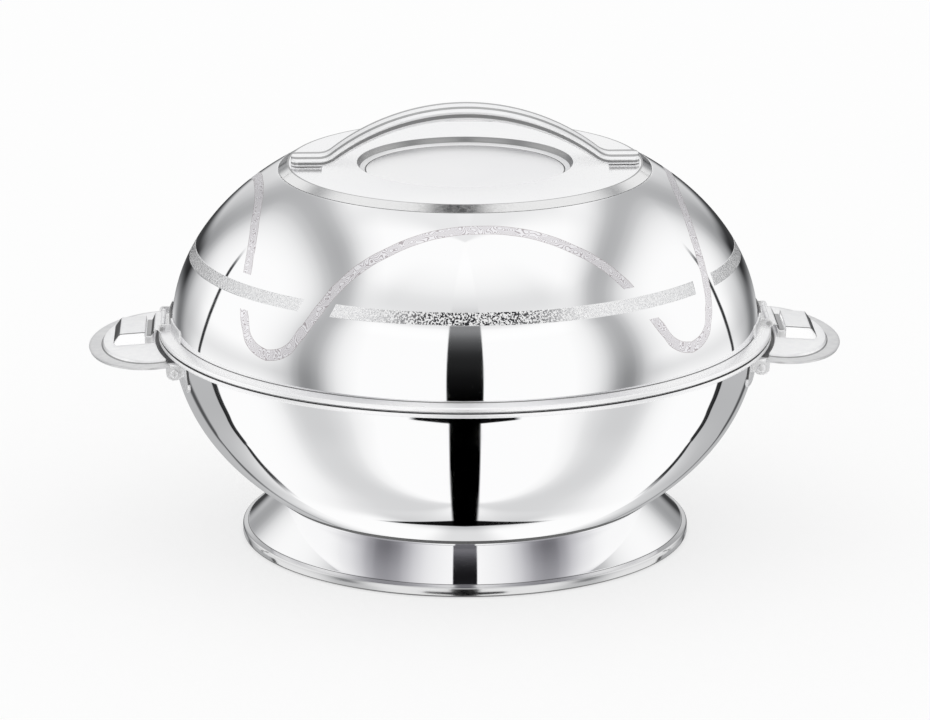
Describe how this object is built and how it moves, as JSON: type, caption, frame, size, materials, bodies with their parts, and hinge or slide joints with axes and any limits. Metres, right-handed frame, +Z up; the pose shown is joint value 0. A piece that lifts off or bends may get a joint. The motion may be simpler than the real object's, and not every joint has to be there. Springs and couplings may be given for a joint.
{
  "type": "insulated chapati casserole",
  "caption": "Double-walled polished steel serving casserole on a foot ring, with a domed hinged lid, an arched lid handle and half-oval side handles with sliding catches.",
  "frame": {"origin": "centre of the bounding box at floor level, on the bowl's axis", "axes": "+X towards the right-hand side handle, where the lid's hinge pin is; +Y to the back; +Z up along the bowl's axis"},
  "size_m": [0.3262, 0.2656, 0.1904],
  "materials": {
    "polished_steel": "mirror-polished stainless steel sheet",
    "plain_steel": "plain drawn steel wire and rod, lightly rubbed",
    "insulation_foam": "rigid cream insulation foam",
    "plug_plastic": "matt dark grey plastic"
  },
  "bodies": {
    "base": {"bowl_outer_shell": "polished_steel", "bowl_inner_liner": "polished_steel", "bowl_insulation": "insulation_foam", "foot_ring": "polished_steel", "base_filler_plug": "plug_plastic", "left_side_handle": "polished_steel", "left_handle_bracket": "polished_steel", "left_front_rivet": "plain_steel", "left_back_rivet": "plain_steel", "right_side_handle": "polished_steel", "right_handle_bracket": "polished_steel", "right_front_rivet": "plain_steel", "right_back_rivet": "plain_steel", "right_latch_leaf": "polished_steel", "right_hinge_pin": "plain_steel"},
    "lid": {"lid_outer_shell": "polished_steel", "lid_inner_liner": "polished_steel", "lid_insulation": "insulation_foam", "lid_top_disc": "polished_steel", "lid_handle": "polished_steel", "left_lid_bracket": "polished_steel", "right_lid_bracket": "polished_steel", "left_hinge_pin": "plain_steel"},
    "left_latch": {"left_latch_leaf": "polished_steel"},
    "left_catch": {"left_catch": "polished_steel", "left_front_stud": "plain_steel", "left_back_stud": "plain_steel"},
    "right_catch": {"right_catch": "polished_steel", "right_front_stud": "plain_steel", "right_back_stud": "plain_steel"}
  },
  "joints": [
    {"name": "lid_hinge", "type": "hinge", "parent": "base", "child": "lid", "pos_m": [0.131, 0, 0.09605], "axis": [0, 1, 0], "range_deg": [0, 105]},
    {"name": "left_latch_swing", "type": "hinge", "parent": "lid", "child": "left_latch", "pos_m": [-0.131, 0, 0.09605], "axis": [0, 1, 0], "range_deg": [0, 95]},
    {"name": "left_catch_slide", "type": "slide", "parent": "base", "child": "left_catch", "axis": [0.9976, 0, 0.0698], "range_m": [0, 0.003]},
    {"name": "right_catch_slide", "type": "slide", "parent": "base", "child": "right_catch", "axis": [-0.9976, 0, 0.0698], "range_m": [0, 0.003]}
  ]
}
